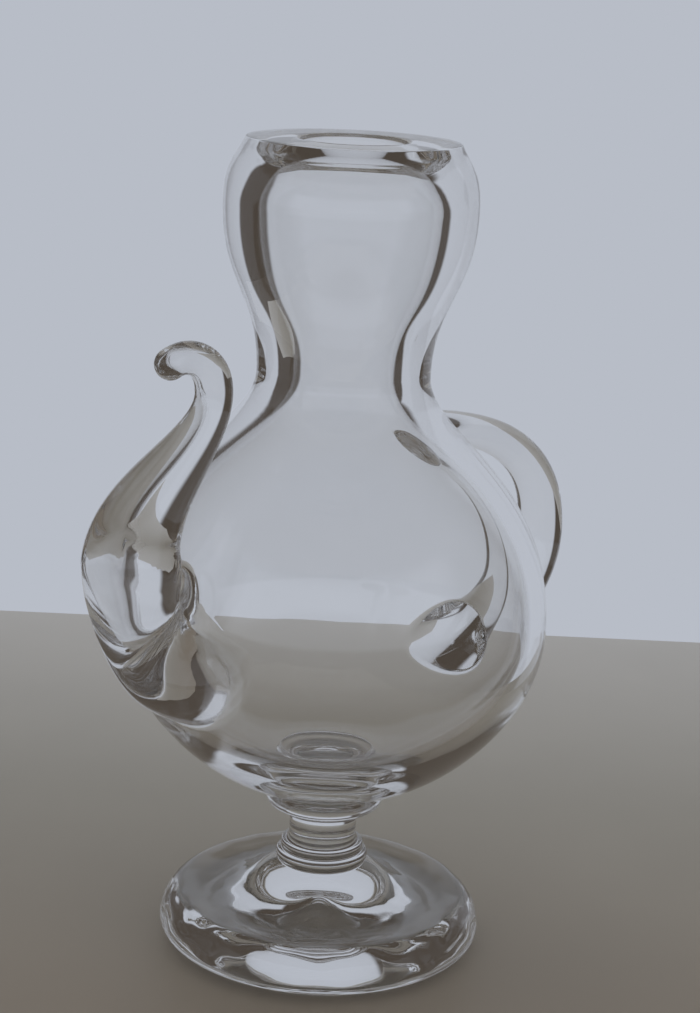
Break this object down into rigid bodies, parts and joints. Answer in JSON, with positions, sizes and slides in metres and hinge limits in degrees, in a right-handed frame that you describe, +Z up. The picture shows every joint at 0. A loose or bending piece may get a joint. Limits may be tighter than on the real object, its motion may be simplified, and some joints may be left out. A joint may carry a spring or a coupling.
{
  "type": "teapot-shaped vase",
  "caption": "Clear hot-worked glass vase in the shape of a teapot: hollow double-bulb body on a stemmed round foot, with a solid curled spout and a solid loop handle.",
  "frame": {"origin": "centre of the foot's flat ground underside, on the vase's vertical axis", "axes": "+Z up along the vase's axis to the rim, -X towards the spout, +X towards the handle, +Y across them"},
  "size_m": [0.1813, 0.12, 0.23],
  "materials": {
    "clear_glass": "fire-polished clear glass with a ground and polished rim and base"
  },
  "bodies": {
    "root": {"body": "clear_glass", "upper_collar": "clear_glass", "stem": "clear_glass", "lower_collar": "clear_glass", "foot": "clear_glass", "spout": "clear_glass", "handle": "clear_glass"}
  },
  "joints": []
}
